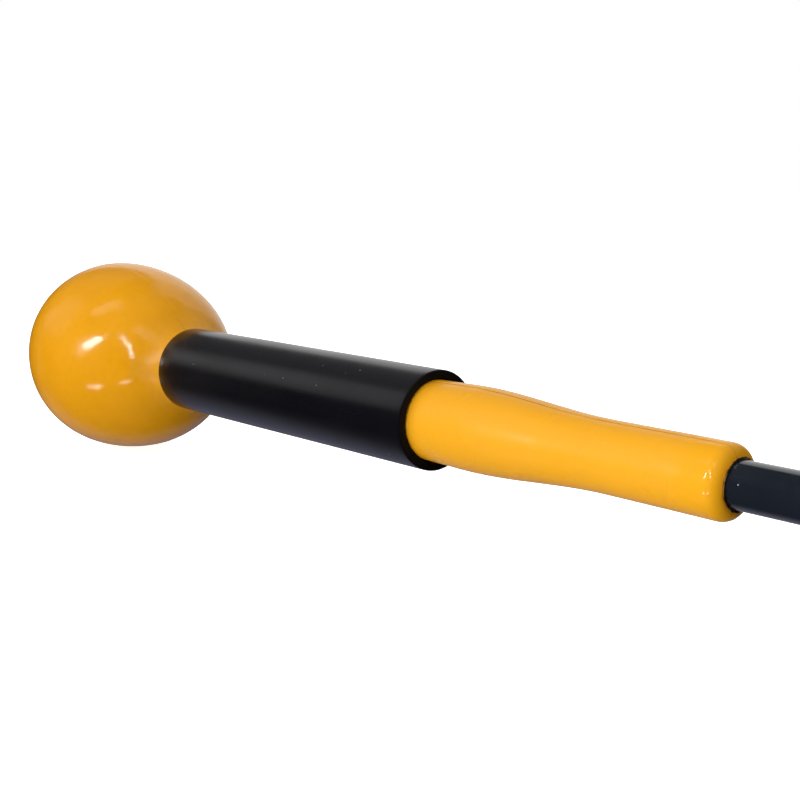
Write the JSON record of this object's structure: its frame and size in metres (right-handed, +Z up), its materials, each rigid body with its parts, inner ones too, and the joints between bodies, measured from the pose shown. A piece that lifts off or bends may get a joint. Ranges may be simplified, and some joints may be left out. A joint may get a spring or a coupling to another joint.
{
  "type": "swing trainer stick",
  "caption": "Weighted golf swing trainer: moulded ball and stem with a black neck sleeve on a flexible shaft, with a rubber golf grip at the other end.",
  "frame": {"origin": "centre of the flat butt face of the grip, on the shaft's centreline", "axes": "+X along the straight shaft from the grip's butt towards the ball; +Z up as the stick lies; the plane of the mould's parting line holds the centreline and leans 8 degrees from upright towards +Y"},
  "size_m": [1.016, 0.0728, 0.0728],
  "materials": {
    "vinyl": "soft moulded vinyl, yellow-orange, soft gloss",
    "sleeve_plastic": "near-black extruded plastic, satin",
    "iron": "as cast, machined bore",
    "steel": "zinc plated, satin",
    "glue": "hardened clear-amber adhesive",
    "shaft_fibreglass": "glossy blue-black coated fibreglass",
    "tube_plastic": "extruded plastic tube, matt",
    "tape": "double-sided paper tape",
    "grip_rubber": "matt moulded rubber",
    "cap_rubber": "hard moulded rubber, satin"
  },
  "bodies": {
    "handle": {"butt_tube": "tube_plastic", "counterweight": "steel", "grip_tape": "tape", "grip": "grip_rubber", "grip_cap": "cap_rubber"},
    "shaft": {"flex_shaft": "shaft_fibreglass"},
    "head": {"head_shell": "vinyl", "neck_sleeve": "sleeve_plastic", "ball_weight": "iron", "tip_ferrule": "steel", "ferrule_pin": "steel", "weight_washer": "steel", "weight_bolt": "steel", "glue_bead": "glue"}
  },
  "joints": [
    {"name": "butt_flex", "type": "hinge", "parent": "handle", "child": "shaft", "pos_m": [0.37465, 0, 0], "axis": [0, 0, 1], "range_deg": [-15, 15], "stiffness_Nm_per_rad": 120, "deforming": ["flex_shaft"]},
    {"name": "tip_flex", "type": "hinge", "parent": "shaft", "child": "head", "pos_m": [0.58395, 0, 0], "axis": [0, 0, 1], "range_deg": [-15, 15], "stiffness_Nm_per_rad": 120, "deforming": ["flex_shaft"]}
  ],
  "couplings": [
    {"joint": "tip_flex", "follows": "butt_flex", "ratio": 1}
  ]
}
